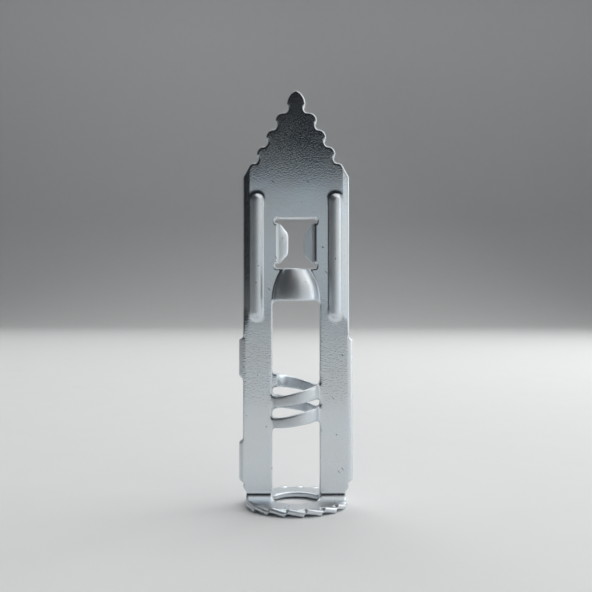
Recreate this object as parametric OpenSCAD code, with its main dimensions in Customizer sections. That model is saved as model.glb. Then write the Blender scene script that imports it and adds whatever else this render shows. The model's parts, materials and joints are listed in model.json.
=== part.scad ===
// Hammer-in drywall anchor, stamped and folded from one steel sheet.
// Two claws stand back to back, joined by a fold on the right side of the sleeve.
// The feet bend outwards into the two halves of a toothed flange.
// Origin: middle of the screw hole on the underside of the flange. +Z points to the tip,
// and the front claw faces -Y. Heights are measured from the underside of the flange.

/* [Sheet] */
// Thickness of the steel sheet
sheet_t = 0.55; // [0.45:0.05:0.65]
// Gap between the two claws
claw_gap = 0.4; // [0.3:0.05:0.6]

/* [Flange] */
// Diameter at the roots of the rim teeth
rim_root_d = 10.2; // [9.8:0.1:10.4]
// Diameter over the rim teeth
rim_d = 11.1; // [10.8:0.1:11.6]
// Width of one rim tooth at its root
tooth_root_w = 1.65; // [1.2:0.05:1.7]
// Width of one rim tooth at its tip
tooth_tip_w = 1.8; // [1:0.05:1.85]
// Depth that the rim teeth are let into the flange
tooth_overlap = 0.15; // [0.1:0.05:0.3]
// Twist of each rim tooth about its own radius
tooth_twist = 12; // [10:1:26]
// Angle between rim teeth
tooth_pitch = 20; // [20:1:24]
// Rim teeth on each side of the middle tooth of a half flange
teeth_per_side = 3; // [2:1:3]
// Diameter of the screw hole
screw_hole_d = 5; // [4.6:0.1:5.2]
// Height of the round wall of the screw hole over the top of the flange, where it enters the bends
screw_hole_lip = 0.1; // [0.05:0.05:0.3]

/* [Feet] */
// Inside radius of the bend between leg and flange
foot_bend_r = 0.75; // [0.5:0.05:0.9]
// Inset of the feet from the edges of the claw
foot_inset = 0.35; // [0.2:0.05:0.5]
// Radius of the outer corners of the feet
foot_corner_r = 0.7; // [0.6:0.05:1]
// Height of the narrow part of the feet over the bend
foot_narrow_h = 0.1; // [0.05:0.05:0.3]
// Run of the feet past the bend into the flange
foot_run = 0.3; // [0.1:0.05:0.5]

/* [Sleeve] */
// Width over the folded sides
sleeve_w = 12.1; // [11.8:0.02:12.4]
// Height of the lower end of the folded sides
sleeve_bottom = 2.1; // [2:0.05:3]
// Height of the upper end of the folded sides
sleeve_top = 17.75; // [16.5:0.05:19]
// Drop of the slanted ends of the folded sides
sleeve_slant = 0.4; // [0.2:0.05:0.6]
// Height of the lower end of the notch in the left side
notch_bottom = 6.5; // [5.5:0.05:8]
// Height of the upper end of the notch in the left side
notch_top = 13.45; // [12:0.05:15]
// Radius in the corners of the notch
notch_r = 0.5; // [0.3:0.05:0.7]

/* [Windows] */
// Width of the windows in the legs
window_w = 5; // [4.6:0.1:5.2]
// Height of the top of the upper window
window_top = 21.45; // [19.5:0.05:22.5]
// Corner radius of the windows
window_r = 0.4; // [0.2:0.05:0.45]

/* [Thread bars] */
// Height of the middle of the front thread bars
thread_z = 10.2; // [9.5:0.05:10.6]
// Pitch of the thread that the bars form
thread_pitch = 2.27; // [2.2:0.01:2.5]
// Inner diameter of the bars
thread_d = 3.9; // [3.5:0.05:4.1]
// Height of one bar at its left end
bar_left_h = 1; // [0.8:0.05:1.2]
// Height of one bar at its right end
bar_right_h = 1.5; // [1.2:0.05:1.6]
// Corner radius of the slot between the bars
slot_r = 0.33; // [0.2:0.01:0.36]

/* [Screw ramp] */
// Outer radius of the half-round ramp where it meets the window
ramp_r = 2.49; // [2.3:0.01:2.6]
// Height of the ramp
ramp_h = 3.4; // [2.8:0.05:4]
// Radius of the curve of the ramp towards the tip
ramp_curve_r = 6.2; // [5.5:0.1:10]

/* [Catch hole] */
// Width of the hole above the ramp
catch_w = 4.5; // [4.2:0.05:5]
// Height of the hole above the ramp
catch_h = 5.3; // [4.8:0.05:5.8]
// Corner radius of the hole above the ramp
catch_corner_r = 0.24; // [0.16:0.02:0.4]
// Height of the catch tabs at their bend
catch_tab_h = 4.3; // [3.6:0.05:4.4]
// Height of the catch tabs at their ends
catch_tab_end_h = 2.3; // [1.8:0.05:2.6]
// Length of the catch tabs past their bend
catch_tab_len = 1.4; // [1.2:0.05:1.6]
// Corner radius of the catch tabs
catch_tab_r = 0.7; // [0.4:0.05:0.8]
// Bend angle of the catch tabs
catch_tab_bend = 50; // [45:1:60]
// Inside radius of the catch tab bend
catch_tab_bend_r = 0.2; // [0.15:0.05:0.3]

/* [Ribs] */
// Distance from the edge of the claw to the middle of a stiffening rib
rib_inset = 1.47; // [1.3:0.01:1.6]
// Height of the lower end of the ribs
rib_bottom = 19.4; // [18.5:0.1:21]
// Height of the upper end of the ribs
rib_top = 32.8; // [31:0.1:33.6]
// Width of a rib
rib_w = 1.25; // [1:0.05:1.4]
// Height of a rib over the sheet
rib_h = 0.38; // [0.3:0.02:0.5]

/* [Claw tip] */
// Width of each claw
claw_w = 11.2; // [10.9:0.05:11.3]
// Height of the shoulders
shoulder_z = 35.95; // [35:0.05:38]
// Width of each shoulder beside the lowest saw step
shoulder_w = 1.45; // [1.3:0.05:1.7]
// Width of the slanted corner of a shoulder
shoulder_corner_w = 0.85; // [0.6:0.05:0.85]
// Height of the slanted corner of a shoulder
shoulder_corner_h = 1.45; // [1.1:0.05:1.8]
// Radius at both ends of the slanted corner
shoulder_r = 0.5; // [0.3:0.05:0.5]
// Distance that each saw step stands back from the one below
saw_run = 0.98; // [0.9:0.01:1.05]
// Height from one saw step to the next
saw_rise = 1.77; // [1.6:0.01:2]
// Saw steps on each side
saw_steps = 3; // [2:1:3]
// Radius of the saw steps
saw_r = 0.8; // [0.6:0.02:0.85]
// Radius of the notches between the saw steps
saw_notch_r = 0.45; // [0.35:0.01:0.5]
// Distance from the edge of a step to the middle of its notch
saw_notch_out = 0.27; // [0.2:0.01:0.32]
// Width of the point
point_w = 1.98; // [1.7:0.02:2.1]
// Height from the top saw step to the widest part of the point
point_rise = 0.9; // [0.8:0.05:1.3]
// Radius of the two arcs of the point
point_arc_r = 1.6; // [1.2:0.05:2]

/* [Hidden] */
$fn = 48;

// Distances from the middle plane to the inner and outer faces of a claw
inner_y = claw_gap / 2;
outer_y = inner_y + sheet_t;
mid_y = inner_y + sheet_t / 2;

// Foot bend: outside radius, height where it starts and distance where it ends
foot_bend_out_r = foot_bend_r + sheet_t;
foot_z = foot_bend_out_r;
foot_y = inner_y + foot_bend_out_r;
foot_w = claw_w - 2 * foot_inset;
screw_hole_h = sheet_t + screw_hole_lip;
foot_corner_z = foot_z + foot_narrow_h
    + sqrt(pow(foot_corner_r, 2) - pow(foot_corner_r - foot_inset, 2));

// Middle of the side bends
side_x = sleeve_w / 2 - outer_y;

// The bars climb half a pitch across the outer diameter of the thread, and widen as they climb
thread_out_r = thread_d / 2 + sheet_t;
thread_slope = (thread_pitch / 2) / (2 * thread_out_r);
bar_h = (bar_left_h + bar_right_h) / 2;
bar_taper = (bar_right_h - bar_left_h) / (2 * window_w);
bar_top_slope = thread_slope + bar_taper;
bar_low_slope = thread_slope - bar_taper;

// Catch hole and its tabs
catch_bottom = window_top + ramp_h;
catch_z = catch_bottom + catch_h / 2;

// Ribs: distance apart, radius of the rounded section, and how deep its middle lies in the sheet
rib_spacing = claw_w - 2 * rib_inset;
rib_r = (pow(rib_w / 2, 2) + pow(rib_h, 2)) / (2 * rib_h);
rib_y = outer_y + rib_h - rib_r;
rib_z = (rib_bottom + rib_top) / 2;
rib_straight_h = rib_top - rib_bottom - 2 * rib_r;

// Groove behind a rib
rib_groove_r = rib_w / 2 - sheet_t / 2;

// Fall of the slanted ends of the sides for each step outwards
side_slope = sleeve_slant / outer_y;

// Width over the lowest saw step. The point is a pointed arch of two arcs
saw_w = claw_w - 2 * shoulder_w;
point_z = shoulder_z + saw_steps * saw_rise + point_rise;
overall_h = point_z + sqrt(point_w * (point_arc_r - point_w / 4));

// Long enough to pass through the part, a small overrun for cuts, and a hair for arcs
reach = sleeve_w + rim_d;
over = 0.5;
hair = 0.001;

function unit(v) = v / norm(v);

// Convex polygon with rounded corners, each corner given as [x, y, radius]. The arcs stand a hair
// proud of the edges, so that they cross them and don't just touch them
module rounded_polygon(corners) {
    count = len(corners);
    at = [for (c = corners) [c[0], c[1]]];
    to_last = [for (i = [0 : count - 1]) unit(at[(i + count - 1) % count] - at[i])];
    to_next = [for (i = [0 : count - 1]) unit(at[(i + 1) % count] - at[i])];
    half = [for (i = [0 : count - 1]) acos(to_last[i] * to_next[i]) / 2];
    cut = [for (i = [0 : count - 1]) corners[i][2] / tan(half[i])];
    polygon([for (i = [0 : count - 1]) each cut[i] == 0 ? [at[i]]
        : [at[i] + cut[i] * to_last[i], at[i] + cut[i] * to_next[i]]]);
    for (i = [0 : count - 1])
        if (corners[i][2] > 0)
            translate(at[i] + unit(to_last[i] + to_next[i]) * corners[i][2] / sin(half[i]))
                circle(r = corners[i][2] + hair);
}

// Turns an outline drawn in X and Z into a plate between two distances in front of the middle plane
module front_plate(from_y, to_y) {
    translate([0, -from_y, 0]) rotate([90, 0, 0]) linear_extrude(to_y - from_y) children();
}

module mirrored_x() {
    children();
    mirror([1, 0, 0]) children();
}

// Block with two rounded top corners, centred on X
module arched_block(width, bottom, top, corner_r) {
    rounded_polygon([[-width / 2, bottom, 0], [width / 2, bottom, 0],
        [width / 2, top, corner_r], [-width / 2, top, corner_r]]);
}

// Saw steps, the notches between them and the point
module tip_outline() {
    difference() {
        union() {
            for (i = [1 : saw_steps])
                arched_block(saw_w - 2 * (i - 1) * saw_run, shoulder_z - shoulder_corner_h,
                    shoulder_z + i * saw_rise, saw_r);
            translate([-point_w / 2, shoulder_z]) square([point_w, point_z - shoulder_z]);
            intersection_for (side = [-1, 1])
                translate([side * (point_arc_r - point_w / 2), point_z]) circle(r = point_arc_r);
        }
        for (i = [0 : saw_steps]) {
            edge_x = i == saw_steps ? point_w / 2 : saw_w / 2 - i * saw_run;
            mirrored_x()
                translate([edge_x + saw_notch_out, shoulder_z + i * saw_rise + saw_notch_r])
                    circle(r = saw_notch_r);
        }
    }
}

// Feet, narrowed by round corners to their width at the bend
module feet_outline() {
    translate([-foot_w / 2, foot_z]) square([foot_w, foot_corner_z + over - foot_z]);
    mirrored_x()
        translate([claw_w / 2 - foot_corner_r, foot_corner_z]) circle(r = foot_corner_r);
}

// Leg from the feet to the shoulders, with slanted upper corners
module leg_outline() {
    x = claw_w / 2;
    rounded_polygon([[-x, foot_corner_z, 0], [x, foot_corner_z, 0],
        [x, shoulder_z - shoulder_corner_h, shoulder_r], [x - shoulder_corner_w, shoulder_z, shoulder_r],
        [shoulder_corner_w - x, shoulder_z, shoulder_r], [-x, shoulder_z - shoulder_corner_h, shoulder_r]]);
}

// Outline of a claw from the start of the foot bend to the point, as wide in the sleeve as its bends
module claw_outline() {
    difference() {
        union() {
            feet_outline();
            leg_outline();
            tip_outline();
            translate([-side_x, sleeve_bottom]) square([2 * side_x, sleeve_top - sleeve_bottom]);
        }
        mirrored_x()
            translate([side_x, sleeve_bottom]) square([sleeve_w, sleeve_top - sleeve_bottom]);
    }
}

// Side view of a leg, its foot bend and its half flange, drawn in distance from the middle and height
module leg_profile() {
    difference() {
        translate([inner_y, 0]) square([reach, overall_h + over]);
        difference() {
            translate([outer_y, sheet_t]) square([2 * reach, overall_h + reach]);
            difference() {
                translate([outer_y - over, sheet_t - over]) square(foot_bend_r + over);
                translate([outer_y + foot_bend_r, foot_z]) circle(r = foot_bend_r);
            }
        }
        difference() {
            translate([inner_y - over, -over]) square(foot_bend_out_r + over);
            translate([foot_y, foot_z]) circle(r = foot_bend_out_r);
        }
    }
}

// Front leg and half flange as one bent sheet, trimmed to its outlines
module bent_sheet() {
    intersection() {
        translate([reach / 2, 0, 0]) rotate([90, 0, -90]) linear_extrude(reach) leg_profile();
        union() {
            front_plate(0, reach) claw_outline();
            translate([-foot_w / 2, -foot_y - foot_run, -over])
                cube([foot_w, foot_y + foot_run, foot_z + over]);
            intersection() {
                translate([0, 0, -over]) cylinder(d = rim_root_d, h = sheet_t + 2 * over);
                translate([-reach / 2, -reach - foot_y, -reach / 2]) cube(reach);
            }
        }
    }
}

// Keeps the part of a shape that stands out of the sheet towards the front
module outward() {
    intersection() {
        children();
        translate([-reach / 2, -reach - mid_y, -over]) cube([reach, reach, overall_h + reach]);
    }
}

// Round-ended bead along Z, used for a rib and for the groove behind it. The balls at its ends are
// tilted to keep their poles away from the faces that they blend into
module bead(distance, radius) {
    for (side = [-1, 1])
        translate([side * rib_spacing / 2, -distance, rib_z]) {
            cylinder(r = radius, h = rib_straight_h, center = true);
            for (end = [-1, 1])
                translate([0, 0, end * rib_straight_h / 2]) rotate([-end * 45, 0, 0]) sphere(r = radius);
        }
}

// Half-round ramp that the screw tip pushes against, grown inwards by a wall thickness
module ramp(wall) {
    rotate_extrude()
        intersection() {
            translate([0, window_top - over]) square([ramp_r, ramp_h + 2 * over]);
            translate([ramp_r - ramp_curve_r, window_top]) circle(r = ramp_curve_r - wall, $fn = 180);
        }
}

// Round form that the bars are pressed to, long enough to end in the windows above and below them
module thread_tube(bars_z, radius, length) {
    translate([0, 0, bars_z]) cylinder(r = radius, h = length, center = true);
}

// Window between two heights, with its lower and upper edges level or along the thread
module window(low, high, low_slope, high_slope, low_r, high_r) {
    x = window_w / 2;
    rounded_polygon([[-x, low - low_slope * x, low_r], [x, low + low_slope * x, low_r],
        [x, high + high_slope * x, high_r], [-x, high - high_slope * x, high_r]]);
}

// Lower window, slot between the bars and upper window of a claw whose bars are at the given height
module windows(bars_z) {
    upper_bar = bars_z + thread_pitch / 2;
    lower_bar = bars_z - thread_pitch / 2;
    window(screw_hole_h, lower_bar - bar_h / 2, 0, bar_low_slope, 0, window_r);
    window(lower_bar + bar_h / 2, upper_bar - bar_h / 2, bar_top_slope, bar_low_slope, slot_r, slot_r);
    window(upper_bar + bar_h / 2, window_top, bar_top_slope, 0, window_r, window_r);
}

// Hole above the ramp
module catch_hole() {
    translate([0, catch_z])
        rounded_polygon([for (corner = [[-1, -1], [1, -1], [1, 1], [-1, 1]])
            [corner[0] * catch_w / 2, corner[1] * catch_h / 2, catch_corner_r]]);
}

// Twisted teeth on the rim of the front half flange
module rim_teeth() {
    for (i = [-teeth_per_side : teeth_per_side])
        rotate([0, 0, i * tooth_pitch - 90])
            translate([0, 0, sheet_t / 2]) rotate([-tooth_twist, 0, 0])
                linear_extrude(sheet_t, center = true)
                    polygon([[rim_root_d / 2 - tooth_overlap, -tooth_root_w / 2],
                        [rim_d / 2, -tooth_tip_w / 2], [rim_d / 2, tooth_tip_w / 2],
                        [rim_root_d / 2 - tooth_overlap, tooth_root_w / 2]]);
}

// One claw, facing the front, with its leg, its foot and its half of the flange
module claw(bars_z) {
    difference() {
        union() {
            bent_sheet();
            rim_teeth();
            outward() {
                bead(rib_y, rib_r);
                ramp(0);
                thread_tube(bars_z, thread_out_r, thread_pitch * 3);
            }
        }
        bead(inner_y, rib_groove_r);
        ramp(sheet_t);
        thread_tube(bars_z, thread_d / 2, thread_pitch * 3 + over);
        front_plate(inner_y / 2, thread_out_r + over) {
            windows(bars_z);
            catch_hole();
        }
        translate([0, 0, -over]) cylinder(d = screw_hole_d, h = screw_hole_h + over);
    }
}

// Side of the sleeve with slanted ends, seen from the front, from where it laps over the claws
module side_outline() {
    polygon([[side_x - over, sleeve_bottom], [side_x, sleeve_bottom],
        [sleeve_w, sleeve_bottom + side_slope * (sleeve_w - side_x)],
        [sleeve_w, sleeve_top - side_slope * (sleeve_w - side_x)],
        [side_x, sleeve_top], [side_x - over, sleeve_top]]);
}

// Sheet bent round the side of the sleeve by the given angle, with a flat lap in the front claw
module side_bend(angle) {
    side_h = sleeve_top - sleeve_bottom + 2 * over;
    translate([side_x, 0, sleeve_bottom - over]) {
        rotate([0, 0, -90]) rotate_extrude(angle = angle)
            translate([inner_y, 0]) square([sheet_t, side_h]);
        translate([-2 * over, -outer_y, 0]) cube([2 * over, sheet_t, side_h]);
    }
}

// Fold that joins the two claws on the right
module side_fold() {
    intersection() {
        for (side = [0, 1]) mirror([0, side, 0]) side_bend(90);
        front_plate(-reach, reach) side_outline();
    }
}

// Ears of the front claw, bent round the left edge of the back claw, with a notch between them
module side_ears() {
    mirror([1, 0, 0])
        difference() {
            intersection() {
                union() {
                    side_bend(90);
                    translate([side_x + inner_y, 0, sleeve_bottom - over])
                        cube([sheet_t, outer_y, sleeve_top - sleeve_bottom + 2 * over]);
                }
                front_plate(-reach, reach) side_outline();
            }
            front_plate(-reach, reach)
                rounded_polygon([[claw_w / 2, notch_bottom, notch_r], [sleeve_w, notch_bottom, 0],
                    [sleeve_w, notch_top, 0], [claw_w / 2, notch_top, notch_r]]);
        }
}

// Tabs of the front claw, bent back through the hole in the back claw
module catch_tabs() {
    mirrored_x()
        translate([-catch_w / 2, catch_tab_bend_r - inner_y, catch_z]) {
            rotate([0, 0, -90]) rotate_extrude(angle = catch_tab_bend)
                translate([catch_tab_bend_r, -catch_tab_h / 2]) square([sheet_t, catch_tab_h]);
            rotate([0, 0, catch_tab_bend]) translate([0, -catch_tab_bend_r, 0])
                rotate([90, 0, 0]) linear_extrude(sheet_t)
                    rounded_polygon([[0, -catch_tab_h / 2, 0],
                        [catch_tab_len, -catch_tab_end_h / 2, catch_tab_r],
                        [catch_tab_len, catch_tab_end_h / 2, catch_tab_r], [0, catch_tab_h / 2, 0]]);
        }
}

module anchor_body() {
    color("silver") {
        claw(thread_z);
        rotate([0, 0, 180]) claw(thread_z + thread_pitch / 2);
        side_fold();
        side_ears();
        catch_tabs();
    }
}

anchor_body();
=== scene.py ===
"""Looks of a hammer-in drywall anchor: one folded, zinc-plated steel sheet on a plain studio stage."""

import json
import math

import bpy
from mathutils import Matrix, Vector

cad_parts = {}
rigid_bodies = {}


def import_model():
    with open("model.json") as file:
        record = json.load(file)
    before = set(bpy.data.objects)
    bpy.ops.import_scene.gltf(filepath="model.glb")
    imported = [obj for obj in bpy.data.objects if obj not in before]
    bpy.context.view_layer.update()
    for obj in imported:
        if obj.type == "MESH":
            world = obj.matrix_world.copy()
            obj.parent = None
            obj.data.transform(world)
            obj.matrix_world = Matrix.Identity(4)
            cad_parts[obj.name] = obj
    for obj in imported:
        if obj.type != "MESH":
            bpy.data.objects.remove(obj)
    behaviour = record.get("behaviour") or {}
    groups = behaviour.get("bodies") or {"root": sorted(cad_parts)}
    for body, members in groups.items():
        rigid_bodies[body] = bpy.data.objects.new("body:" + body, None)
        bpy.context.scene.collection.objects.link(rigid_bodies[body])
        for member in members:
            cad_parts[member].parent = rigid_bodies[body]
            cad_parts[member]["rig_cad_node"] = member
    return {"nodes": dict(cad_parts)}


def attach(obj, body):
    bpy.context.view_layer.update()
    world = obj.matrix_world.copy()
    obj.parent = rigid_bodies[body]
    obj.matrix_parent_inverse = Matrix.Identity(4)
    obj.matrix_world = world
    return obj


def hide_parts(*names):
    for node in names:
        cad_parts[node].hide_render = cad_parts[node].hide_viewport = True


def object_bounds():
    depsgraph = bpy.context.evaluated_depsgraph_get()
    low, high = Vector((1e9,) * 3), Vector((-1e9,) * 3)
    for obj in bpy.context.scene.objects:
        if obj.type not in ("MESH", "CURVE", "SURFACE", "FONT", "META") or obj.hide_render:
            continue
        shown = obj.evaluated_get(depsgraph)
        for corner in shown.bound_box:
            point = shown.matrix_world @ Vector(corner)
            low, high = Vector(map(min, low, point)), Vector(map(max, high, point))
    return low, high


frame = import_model()

bl_info = {
    "name": "Sheet-steel drywall anchor",
    "version": (1, 0, 0),
    "blender": (4, 5, 0),
    "location": "View3D > Sidebar > Anchor",
    "description": "Dresses a folded sheet-steel drywall anchor and sets a plain studio stage",
    "category": "Object",
}

CAD_LOW, CAD_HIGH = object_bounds()
MM = 0.001

# Soft changes on the anchor in millimetres, each from where it starts to where it is complete
STRIP_SIDE_X = (4.75, 5.6)
STRIP_FOOT_Z = (17, 21)
STRIP_HEAD_Z = (37, 35)
BAR_MIDDLE_X = (0.9, 1.5)
BAR_END_X = (3.4, 2.9)
BAR_FOOT_Z = (7.6, 8.1)
BAR_HEAD_Z = (14.1, 13.6)
TOOTH_ROOT_R = (4.9, 5.1)
TOOTH_HEAD_Z = (1, 0.7)
ROLL_FOOT_Z = (8, 13)
ROLL_HEAD_Z = (15, 22)
TIP_FOOT_Z = (35.5, 33)
PRESSED_Y = (0.85, 1.1)

# Ribs in millimetres: the middles of their round ends, and a soft reach around those middles
RIB_MIDDLE_X = 4.13
RIB_LOW_Z = 19.8
RIB_HIGH_Z = 32.4
RIB_REACH_X = (1, 0.6)
RIB_REACH_Z = (1.1, 0.7)

# Front face of the front claw in millimetres
CLAW_FACE_Y = -0.75

# Softboxes around the anchor: name, place and side in metres, radiance
SOFTBOXES = (
    ("softbox_right", (0.33, 0.12, 0.2), 0.4, 1.9),
    ("softbox_high", (0.17, -0.06, 0.5), 0.6, 0.95),
    ("softbox_front", (0.3, -0.27, 0.15), 0.4, 0.42),
    ("softbox_left", (-0.3, 0.25, 0.3), 0.4, 0.4),
    ("softbox_back", (0, 0.32, 0.42), 0.4, 1.5),
)

# Paper sweep in metres, and the directions in which the studio brightens over it
SWEEP_SIDE = 1.6
SWEEP_RISE = 0.9
SWEEP_CURVE = 0.3
SKYLINE_RISE = (0.156, 0.124)
SKYLINE_SIDE = (-0.4, -0.12)


def linear(hex_colour):
    """Turns an sRGB hex colour into linear red, green and blue."""
    parts = [int(hex_colour[i:i + 2], 16) / 255 for i in (1, 3, 5)]
    return tuple(p / 12.92 if p <= 0.04045 else ((p + 0.055) / 1.055) ** 2.4 for p in parts)


def add_node(tree, kind, inputs=None, **settings):
    """Adds a node, sets its properties, and sets or links its inputs by name or number."""
    node = tree.nodes.new(kind)
    for name, value in settings.items():
        setattr(node, name, value)
    for name, value in (inputs or {}).items():
        if isinstance(value, bpy.types.NodeSocket):
            tree.links.new(value, node.inputs[name])
        else:
            node.inputs[name].default_value = value
    return node


class AnchorBodySettings(bpy.types.PropertyGroup):
    """Mesh of the anchor body."""

    cell: bpy.props.FloatProperty(
        name="Mesh cell", description="Size of the mesh cells that the edges are rolled on, in millimetres",
        default=0.075, min=0.05, max=0.2)
    edge_passes: bpy.props.IntProperty(
        name="Edge passes", description="Smoothing passes that roll the stamped edges",
        default=22, min=0, max=40)
    press_passes: bpy.props.IntProperty(
        name="Press passes", description="Further smoothing passes on the roots of the thread bars",
        default=60, min=0, max=100)
    strip_curl: bpy.props.FloatProperty(
        name="Strip curl", description="How far the strips outside the ribs curl back",
        default=0.14 * MM, min=0, max=0.18 * MM, unit="LENGTH", precision=6)
    triangles: bpy.props.IntProperty(
        name="Triangles", description="Triangles that are kept in the finished mesh",
        default=180000, min=20000, max=195000)


class ZincSettings(bpy.types.PropertyGroup):
    """Bright zinc plating on cold-rolled steel."""

    cool: bpy.props.FloatVectorProperty(
        name="Cool zinc", description="Bluish tone of the plating", subtype="COLOR",
        size=3, min=0, max=1, default=linear("#dcebf7"))
    warm: bpy.props.FloatVectorProperty(
        name="Warm zinc", description="Greyer tone of the plating", subtype="COLOR",
        size=3, min=0, max=1, default=linear("#e9e7e3"))
    pit: bpy.props.FloatVectorProperty(
        name="Pits", description="Colour in the small pits of the plating", subtype="COLOR",
        size=3, min=0, max=1, default=linear("#77797b"))
    grain: bpy.props.FloatProperty(
        name="Grain", description="Width of the grain of the plating",
        default=0.13 * MM, min=0.02 * MM, max=1 * MM, unit="LENGTH", precision=6)
    # The stronger grain at the tip darkens the plating: partly real grain, partly painted shade for the
    # tip's dark reflection.
    tip_grain_and_shade: bpy.props.FloatProperty(
        name="Tip grain", description="How strongly the grain shows at the tip",
        default=0.2, min=0, max=1, subtype="FACTOR")
    body_grain: bpy.props.FloatProperty(
        name="Body grain", description="How strongly the grain shows below the tip",
        default=0.08, min=0, max=1, subtype="FACTOR")
    relief: bpy.props.FloatProperty(
        name="Relief", description="Depth of the grain and of the rolling marks",
        default=0.02 * MM, min=0, max=0.1 * MM, unit="LENGTH", precision=6)
    roll_line: bpy.props.FloatProperty(
        name="Roll line", description="Spacing of the rolling marks across the legs",
        default=0.11 * MM, min=0.02 * MM, max=1 * MM, unit="LENGTH", precision=6)
    roll_length: bpy.props.FloatProperty(
        name="Roll length", description="Length of the rolling marks",
        default=0.32 * MM, min=0.02 * MM, max=5 * MM, unit="LENGTH", precision=6)
    cloud: bpy.props.FloatProperty(
        name="Cloud", description="Size of the warm clouds in the plating",
        default=5 * MM, min=1 * MM, max=20 * MM, unit="LENGTH", precision=6)
    pit_spacing: bpy.props.FloatProperty(
        name="Pit spacing", description="Spacing of the spots of which a few are pits",
        default=0.42 * MM, min=0.1 * MM, max=5 * MM, unit="LENGTH", precision=6)
    scratch_length: bpy.props.FloatProperty(
        name="Scratch length", description="Room that a scratch takes along its length",
        default=2.2 * MM, min=0.2 * MM, max=20 * MM, unit="LENGTH", precision=6)
    scratch_width: bpy.props.FloatProperty(
        name="Scratch width", description="Room that a scratch takes across its length",
        default=0.35 * MM, min=0.05 * MM, max=5 * MM, unit="LENGTH", precision=6)
    scratch_turn: bpy.props.FloatProperty(
        name="Scratch turn", description="How far the scratches are turned from level",
        default=math.radians(53), min=-math.pi, max=math.pi, subtype="ANGLE")


class StageSettings(bpy.types.PropertyGroup):
    """Floor, light and camera."""

    floor: bpy.props.FloatVectorProperty(
        name="Floor", description="Colour of the floor and its backdrop", subtype="COLOR",
        size=3, min=0, max=1, default=linear("#f3f4f4"))
    surroundings: bpy.props.FloatVectorProperty(
        name="Surroundings", description="Colour of the unlit studio around the floor", subtype="COLOR",
        size=3, min=0, max=1, default=linear("#26272a"))
    skyline: bpy.props.FloatVectorProperty(
        name="Skyline", description="Colour of the studio low over the floor", subtype="COLOR",
        size=3, min=0, max=1, default=linear("#a9afb2"))
    camera_away: bpy.props.FloatProperty(
        name="Camera distance", description="Distance from the camera to the front claw",
        default=88 * MM, min=40 * MM, max=1000 * MM, unit="LENGTH", precision=5)
    camera_height: bpy.props.FloatProperty(
        name="Camera height", description="Height of the camera over the underside of the flange",
        default=21.95 * MM, min=0, max=1000 * MM, unit="LENGTH", precision=5)
    lens: bpy.props.FloatProperty(
        name="Lens", description="Focal length of the camera in millimetres",
        default=50.84, min=10, max=300)


def select_only(piece):
    """Makes a piece the only selected and the active object."""
    bpy.ops.object.select_all(action="DESELECT")
    piece.select_set(True)
    bpy.context.view_layer.objects.active = piece


def apply_modifier(piece, kind, **settings):
    """Adds a modifier with its settings to a piece and applies it."""
    modifier = piece.modifiers.new(kind.title(), kind)
    for name, value in settings.items():
        setattr(modifier, name, value)
    bpy.ops.object.modifier_apply(modifier=modifier.name)


def rescale(piece, factor):
    """Scales a piece's mesh about the origin."""
    piece.scale = (factor,) * 3
    bpy.ops.object.transform_apply(location=False, rotation=False, scale=True)


def zinc_colour(tree, zinc, place, grain, grain_and_tip_shade, clouds):
    """Cool plating with warmer clouds, a darker grain, small pits and a few short scratches. The grain
    darkens the tip more: partly real grain, partly painted shade for the dark reflection at the tip.
    """
    plating = add_node(tree, "ShaderNodeMix", {
        0: clouds, 6: (*zinc.cool, 1), 7: (*zinc.warm, 1)}, data_type="RGBA").outputs[2]
    dark_grain = add_node(tree, "ShaderNodeMapRange", {
        "Value": grain, "From Min": 0.62, "From Max": 0.32}).outputs[0]
    # Mixing towards the pit colour by the grain darkens the plating; the extra darkening at the tip is
    # partly painted shade.
    grain_and_tip_shade_mix = add_node(tree, "ShaderNodeMath", {
        0: dark_grain, 1: grain_and_tip_shade}, operation="MULTIPLY").outputs[0]
    grained_and_tip_shaded = add_node(tree, "ShaderNodeMix", {
        0: grain_and_tip_shade_mix, 6: plating, 7: (*zinc.pit, 1)}, data_type="RGBA").outputs[2]

    spots = add_node(tree, "ShaderNodeTexNoise", {
        "Vector": place, "Scale": 1 / zinc.pit_spacing, "Detail": 1.0, "Roughness": 0.5}).outputs["Fac"]
    pits = add_node(tree, "ShaderNodeMapRange", {
        "Value": spots, "From Min": 0.76, "From Max": 0.80}).outputs[0]
    along = add_node(tree, "ShaderNodeMapping", {
        "Vector": place, "Rotation": (math.pi / 2, zinc.scratch_turn, 0),
        "Scale": (zinc.scratch_length, zinc.scratch_width, 1)}, vector_type="TEXTURE").outputs[0]
    cells = add_node(tree, "ShaderNodeTexVoronoi", {"Vector": along, "Scale": 1.0}, voronoi_dimensions="2D")
    chosen = add_node(tree, "ShaderNodeSeparateColor", {0: cells.outputs["Color"]}).outputs[0]
    few = add_node(tree, "ShaderNodeMath", {0: chosen, 1: 0.98}, operation="GREATER_THAN").outputs[0]
    lines = add_node(tree, "ShaderNodeMapRange", {
        "Value": cells.outputs["Distance"], "From Min": 0.13, "From Max": 0.06}).outputs[0]
    scratches = add_node(tree, "ShaderNodeMath", {0: few, 1: lines}, operation="MULTIPLY").outputs[0]
    marks = add_node(tree, "ShaderNodeMath", {0: pits, 1: scratches}, operation="MAXIMUM").outputs[0]
    return add_node(tree, "ShaderNodeMix", {
        0: marks, 6: grained_and_tip_shaded, 7: (*zinc.pit, 1)}, data_type="RGBA").outputs[2]


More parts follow.
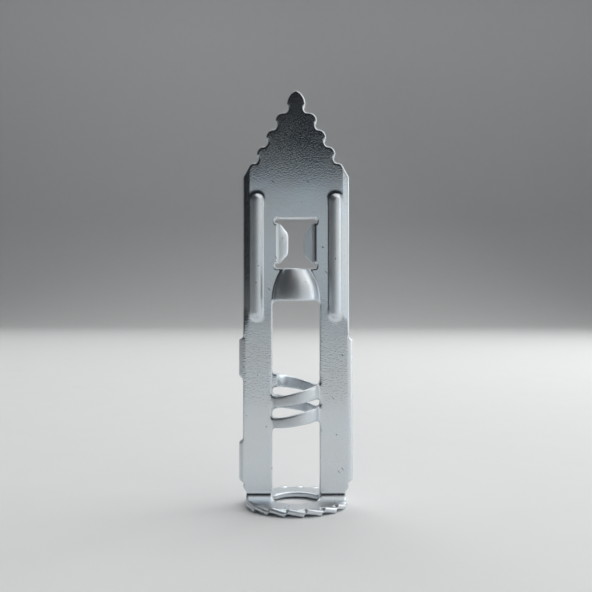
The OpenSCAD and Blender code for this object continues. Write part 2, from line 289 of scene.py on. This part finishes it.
def zinc_roughness(tree, depth, grain, clouds):
    """Satin of the plating, duller where the press stretched the sheet, on bends and on proud parts."""
    mottle = add_node(tree, "ShaderNodeMath", {0: grain, 1: clouds}, operation="ADD").outputs[0]
    satin = add_node(tree, "ShaderNodeMapRange", {
        "Value": mottle, "From Min": 0.6, "From Max": 1.4, "To Min": 0.08, "To Max": 0.16}).outputs[0]
    normal = add_node(tree, "ShaderNodeNewGeometry").outputs["Normal"]
    facing = add_node(tree, "ShaderNodeSeparateXYZ", {0: normal}).outputs["Y"]
    flat = add_node(tree, "ShaderNodeMath", {0: facing}, operation="ABSOLUTE").outputs[0]
    turned = add_node(tree, "ShaderNodeMapRange", {
        "Value": flat, "From Min": 0.985, "From Max": 0.86, "To Min": 0, "To Max": 0.28}).outputs[0]
    away = add_node(tree, "ShaderNodeMath", {0: depth}, operation="ABSOLUTE").outputs[0]
    proud = add_node(tree, "ShaderNodeMapRange", {
        "Value": away, "From Min": PRESSED_Y[0] * MM, "From Max": PRESSED_Y[1] * MM,
        "To Min": 0, "To Max": 0.3}).outputs[0]
    stretched = add_node(tree, "ShaderNodeMath", {0: turned, 1: proud}, operation="MAXIMUM").outputs[0]
    return add_node(tree, "ShaderNodeMath", {0: satin, 1: stretched}, operation="ADD").outputs[0]


def zinc_relief(tree, zinc, place, height, grain, grain_and_tip_shade):
    """Relief of the grain, and of the rolling marks across the legs above the thread bars."""
    grain_bump = add_node(tree, "ShaderNodeBump", {
        "Height": grain, "Strength": grain_and_tip_shade, "Distance": zinc.relief}).outputs[0]
    across = add_node(tree, "ShaderNodeMapping", {
        "Vector": place,
        "Scale": (1 / zinc.roll_length, 1 / zinc.roll_length, 1 / zinc.roll_line)}).outputs[0]
    roll_lines = add_node(tree, "ShaderNodeTexNoise", {
        "Vector": across, "Scale": 1.0, "Detail": 2.0, "Roughness": 0.5}).outputs["Fac"]
    above_bars = add_node(tree, "ShaderNodeMapRange", {
        "Value": height, "From Min": ROLL_FOOT_Z[0] * MM, "From Max": ROLL_FOOT_Z[1] * MM},
        interpolation_type="SMOOTHSTEP").outputs[0]
    above_legs = add_node(tree, "ShaderNodeMapRange", {
        "Value": height, "From Min": ROLL_HEAD_Z[0] * MM, "From Max": ROLL_HEAD_Z[1] * MM},
        interpolation_type="SMOOTHSTEP").outputs[0]
    roll_depth = add_node(tree, "ShaderNodeMath", {
        0: above_bars, 1: above_legs}, operation="SUBTRACT", use_clamp=True).outputs[0]
    return add_node(tree, "ShaderNodeBump", {
        "Height": roll_lines, "Strength": roll_depth, "Distance": zinc.relief,
        "Normal": grain_bump}).outputs[0]


def zinc_plated_steel(zinc):
    """Cold-rolled steel sheet, stamped, folded and barrel-plated with bright zinc.
    The plating is a satin metal, cool grey with warmer clouds. It has a fine crystal grain that shows most
    at the tip, where its darkening is partly real grain and partly painted shade for the tip's dark
    reflection.
    It has faint rolling marks across the legs, small pits and a few scratches, and it is duller where
    the press stretched the sheet. The grain and the rolling marks are drawn coarser than the real ones,
    which would be too fine to show."""
    material = bpy.data.materials.new("bright_zinc_plated_steel")
    material.use_nodes = True
    tree = material.node_tree
    tree.nodes.clear()
    place = add_node(tree, "ShaderNodeTexCoord").outputs["Object"]
    _, depth, height = add_node(tree, "ShaderNodeSeparateXYZ", {0: place}).outputs
    grain = add_node(tree, "ShaderNodeTexNoise", {
        "Vector": place, "Scale": 1 / zinc.grain, "Detail": 1.0, "Roughness": 0.5}).outputs["Fac"]
    clouds = add_node(tree, "ShaderNodeTexNoise", {
        "Vector": place, "Scale": 1 / zinc.cloud, "Detail": 4.0, "Roughness": 0.55}).outputs["Fac"]
    below_tip = add_node(tree, "ShaderNodeMapRange", {
        "Value": height, "From Min": TIP_FOOT_Z[0] * MM, "From Max": TIP_FOOT_Z[1] * MM},
        interpolation_type="SMOOTHSTEP").outputs[0]
    # The grain weight rises towards the tip: partly real grain, partly painted shade for the tip's dark
    # reflection.
    grain_and_tip_shade = add_node(tree, "ShaderNodeMapRange", {
        "Value": below_tip, "To Min": zinc.tip_grain_and_shade, "To Max": zinc.body_grain}).outputs[0]
    shader = add_node(tree, "ShaderNodeBsdfPrincipled", {
        "Base Color": zinc_colour(tree, zinc, place, grain, grain_and_tip_shade, clouds), "Metallic": 1.0,
        "Roughness": zinc_roughness(tree, depth, grain, clouds),
        "Normal": zinc_relief(tree, zinc, place, height, grain, grain_and_tip_shade)})
    add_node(tree, "ShaderNodeOutputMaterial", {"Surface": shader.outputs[0]})
    return material


def ease(value, low, high):
    """Rises smoothly from 0 at one value to 1 at the other."""
    share = min(1, max(0, (value - low) / (high - low)))
    return share * share * (3 - 2 * share)


def group_by_place(piece, name, weight):
    """Makes a vertex group whose weights come from a function of the place in millimetres."""
    group = piece.vertex_groups.new(name=name)
    for vertex in piece.data.vertices:
        share = weight(*vertex.co)
        if share > 0:
            group.add([vertex.index], share, "REPLACE")


def front_strip(x, y, z):
    """Outer strips of the front claw, beside its ribs."""
    if y > 0:
        return 0
    return ease(abs(x), *STRIP_SIDE_X) * ease(z, *STRIP_FOOT_Z) * ease(z, *STRIP_HEAD_Z)


def back_strip(x, y, z):
    """Outer strips of the back claw, beside its ribs."""
    return front_strip(x, -y, z)


def bar_roots(x, y, z):
    """Roots of the thread bars, which run softly into the legs."""
    across = ease(abs(x), *BAR_MIDDLE_X) * ease(abs(x), *BAR_END_X)
    return across * ease(z, *BAR_FOOT_Z) * ease(z, *BAR_HEAD_Z)


def pressed_parts(x, y, z):
    """The rim's teeth and the ends of the ribs, which the press leaves round."""
    tooth = ease(math.hypot(x, y), *TOOTH_ROOT_R) * ease(z, *TOOTH_HEAD_Z)
    near_end = max(ease(abs(z - RIB_LOW_Z), *RIB_REACH_Z), ease(abs(z - RIB_HIGH_Z), *RIB_REACH_Z))
    return max(tooth, near_end * ease(abs(abs(x) - RIB_MIDDLE_X), *RIB_REACH_X))


def merged_copy(node, name):
    """Copies a CAD node under a new name and merges the copy's loose triangles."""
    select_only(node)
    bpy.ops.object.duplicate()
    piece = bpy.context.view_layer.objects.active
    piece.name = name
    del piece["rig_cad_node"]
    bpy.ops.object.mode_set(mode="EDIT")
    bpy.ops.mesh.select_all(action="SELECT")
    bpy.ops.mesh.remove_doubles(threshold=0.002 * MM)
    bpy.ops.object.mode_set(mode="OBJECT")
    return piece


def press_shapes(piece, settings):
    """Rolls the edges, curls the outer strips and rounds what was pressed, on a mesh in millimetres."""
    apply_modifier(piece, "REMESH", mode="VOXEL", voxel_size=settings.cell)
    apply_modifier(piece, "SMOOTH", factor=0.5, iterations=settings.edge_passes)
    for weight in (front_strip, back_strip, bar_roots, pressed_parts):
        group_by_place(piece, weight.__name__, weight)
    curl = settings.strip_curl / MM
    apply_modifier(piece, "DISPLACE", direction="Y", mid_level=0, strength=curl, vertex_group="front_strip")
    apply_modifier(piece, "DISPLACE", direction="Y", mid_level=0, strength=-curl, vertex_group="back_strip")
    apply_modifier(piece, "SMOOTH", factor=0.5, iterations=settings.press_passes, use_x=False, use_z=False,
                   vertex_group="bar_roots")
    apply_modifier(piece, "SMOOTH", factor=0.5, iterations=settings.edge_passes,
                   vertex_group="pressed_parts")


class ANCHOR_OT_body(bpy.types.Operator):
    """Make the anchor body with rolled edges and zinc plating"""

    bl_idname = "anchor.body"
    bl_label = "Anchor body"

    def execute(self, context):
        settings = context.scene.anchor_body
        piece = merged_copy(frame["nodes"]["anchor_body"], "zinc_plated_body")
        rescale(piece, 1 / MM)
        press_shapes(piece, settings)
        rescale(piece, MM)
        piece.data.calc_loop_triangles()
        apply_modifier(piece, "DECIMATE", ratio=min(1, settings.triangles / len(piece.data.loop_triangles)))
        bpy.ops.object.shade_smooth()
        apply_modifier(piece, "WEIGHTED_NORMAL", mode="FACE_AREA", weight=50)

        piece.data.materials.clear()
        piece.data.materials.append(zinc_plated_steel(context.scene.anchor_zinc))
        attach(piece, "root")
        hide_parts("anchor_body")
        return {"FINISHED"}


def matt_paper(colour):
    """Matt paper, rolled from pulp and left uncoated. It shows no gloss, only a faint cloudiness."""
    material = bpy.data.materials.new("matt_paper_sweep")
    material.use_nodes = True
    tree = material.node_tree
    tree.nodes.clear()
    place = add_node(tree, "ShaderNodeTexCoord").outputs["Object"]
    pulp = add_node(tree, "ShaderNodeTexNoise", {
        "Vector": place, "Scale": 1 / (8 * MM), "Detail": 3.0}).outputs["Fac"]
    tone = add_node(tree, "ShaderNodeMix", {
        0: pulp, 6: (*colour, 1), 7: (*[c * 0.97 for c in colour], 1)}, data_type="RGBA").outputs[2]
    shader = add_node(tree, "ShaderNodeBsdfPrincipled", {
        "Base Color": tone, "Roughness": 0.9, "Specular IOR Level": 0.1})
    add_node(tree, "ShaderNodeOutputMaterial", {"Surface": shader.outputs[0]})
    return material


def edit_edges(piece, is_there):
    """Opens a piece in edit mode with those edges selected whose two ends pass a test of their place."""
    bpy.ops.object.mode_set(mode="EDIT")
    bpy.ops.mesh.select_mode(type="EDGE")
    bpy.ops.mesh.select_all(action="DESELECT")
    bpy.ops.object.mode_set(mode="OBJECT")
    for edge in piece.data.edges:
        edge.select = all(is_there(piece.data.vertices[i].co) for i in edge.vertices)
    bpy.ops.object.mode_set(mode="EDIT")


def paper_sweep(colour):
    """Makes the floor, whose back edge turns up in a wide curve."""
    bpy.ops.object.select_all(action="DESELECT")
    bpy.ops.mesh.primitive_plane_add(size=SWEEP_SIDE, location=(0, 0, CAD_LOW.z))
    sweep = bpy.context.view_layer.objects.active
    sweep.name = "paper_sweep"
    bpy.ops.object.transform_apply(location=True, rotation=False, scale=True)
    back = max(v.co.y for v in sweep.data.vertices)
    edit_edges(sweep, lambda end: end.y > back - MM)
    bpy.ops.mesh.extrude_region_move(TRANSFORM_OT_translate={"value": (0, 0, SWEEP_RISE)})
    edit_edges(sweep, lambda end: end.y > back - MM and end.z < CAD_LOW.z + MM)
    bpy.ops.mesh.bevel(offset=SWEEP_CURVE, segments=16, affect="EDGES")
    bpy.ops.object.mode_set(mode="OBJECT")
    bpy.ops.object.shade_smooth()
    sweep.data.materials.append(matt_paper(colour))
    return sweep


def add_softbox(name, place, side, radiance):
    """Adds a square soft light that faces the anchor and looks as bright as the given radiance."""
    bpy.ops.object.light_add(type="AREA", location=place)
    lamp = bpy.context.view_layer.objects.active
    lamp.name = name
    lamp.data.size = side
    lamp.data.energy = radiance * math.pi * side ** 2
    middle = (CAD_LOW + CAD_HIGH) / 2
    lamp.rotation_euler = (middle - Vector(place)).to_track_quat("-Z", "Y").to_euler()


def studio_world(settings):
    """Dark studio that brightens low over the floor, except on the left."""
    world = bpy.data.worlds.new("studio")
    world.use_nodes = True
    tree = world.node_tree
    way = add_node(tree, "ShaderNodeTexCoord").outputs["Generated"]
    side, _, rise = add_node(tree, "ShaderNodeSeparateXYZ", {0: way}).outputs
    low = add_node(tree, "ShaderNodeMapRange", {
        "Value": rise, "From Min": SKYLINE_RISE[0], "From Max": SKYLINE_RISE[1]},
        interpolation_type="SMOOTHSTEP").outputs[0]
    not_left = add_node(tree, "ShaderNodeMapRange", {
        "Value": side, "From Min": SKYLINE_SIDE[0], "From Max": SKYLINE_SIDE[1]},
        interpolation_type="SMOOTHSTEP").outputs[0]
    bright = add_node(tree, "ShaderNodeMath", {0: low, 1: not_left}, operation="MULTIPLY").outputs[0]
    room = add_node(tree, "ShaderNodeMix", {
        0: bright, 6: (*settings.surroundings, 1), 7: (*settings.skyline, 1)},
        data_type="RGBA").outputs[2]
    tree.links.new(room, tree.nodes["Background"].inputs["Color"])
    return world


def add_camera(settings):
    """Adds a level camera in front of the anchor."""
    place = (0, CLAW_FACE_Y * MM - settings.camera_away, settings.camera_height)
    bpy.ops.object.camera_add(location=place, rotation=(math.pi / 2, 0, 0))
    camera = bpy.context.view_layer.objects.active
    camera.data.lens = settings.lens
    camera.data.clip_start = 1 * MM
    return camera


class ANCHOR_OT_stage(bpy.types.Operator):
    """Make the floor sweep, the studio light and the camera"""

    bl_idname = "anchor.stage"
    bl_label = "Stage"

    def execute(self, context):
        settings = context.scene.anchor_stage
        sweep = paper_sweep(settings.floor)
        for softbox in SOFTBOXES:
            add_softbox(*softbox)
        context.scene.world = studio_world(settings)
        context.scene.camera = add_camera(settings)
        context.scene.view_settings.view_transform = "Standard"
        return {"FINISHED"}


class ANCHOR_PT_panel(bpy.types.Panel):
    """Sizes and colours of the anchor, with a button for each step"""

    bl_idname = "ANCHOR_PT_panel"
    bl_label = "Drywall anchor"
    bl_space_type = "VIEW_3D"
    bl_region_type = "UI"
    bl_category = "Anchor"

    def draw(self, context):
        for group in (context.scene.anchor_body, context.scene.anchor_zinc, context.scene.anchor_stage):
            box = self.layout.box()
            for name in group.__annotations__:
                box.prop(group, name)
        for operator in (ANCHOR_OT_body, ANCHOR_OT_stage):
            self.layout.operator(operator.bl_idname)


CLASSES = (
    AnchorBodySettings, ZincSettings, StageSettings, ANCHOR_OT_body, ANCHOR_OT_stage, ANCHOR_PT_panel)


def register():
    for one in CLASSES:
        bpy.utils.register_class(one)
    bpy.types.Scene.anchor_body = bpy.props.PointerProperty(type=AnchorBodySettings)
    bpy.types.Scene.anchor_zinc = bpy.props.PointerProperty(type=ZincSettings)
    bpy.types.Scene.anchor_stage = bpy.props.PointerProperty(type=StageSettings)


def unregister():
    del bpy.types.Scene.anchor_stage
    del bpy.types.Scene.anchor_zinc
    del bpy.types.Scene.anchor_body
    for one in reversed(CLASSES):
        bpy.utils.unregister_class(one)


def main():
    register()
    bpy.ops.anchor.body()
    bpy.ops.anchor.stage()


if __name__ == "__main__":
    main()
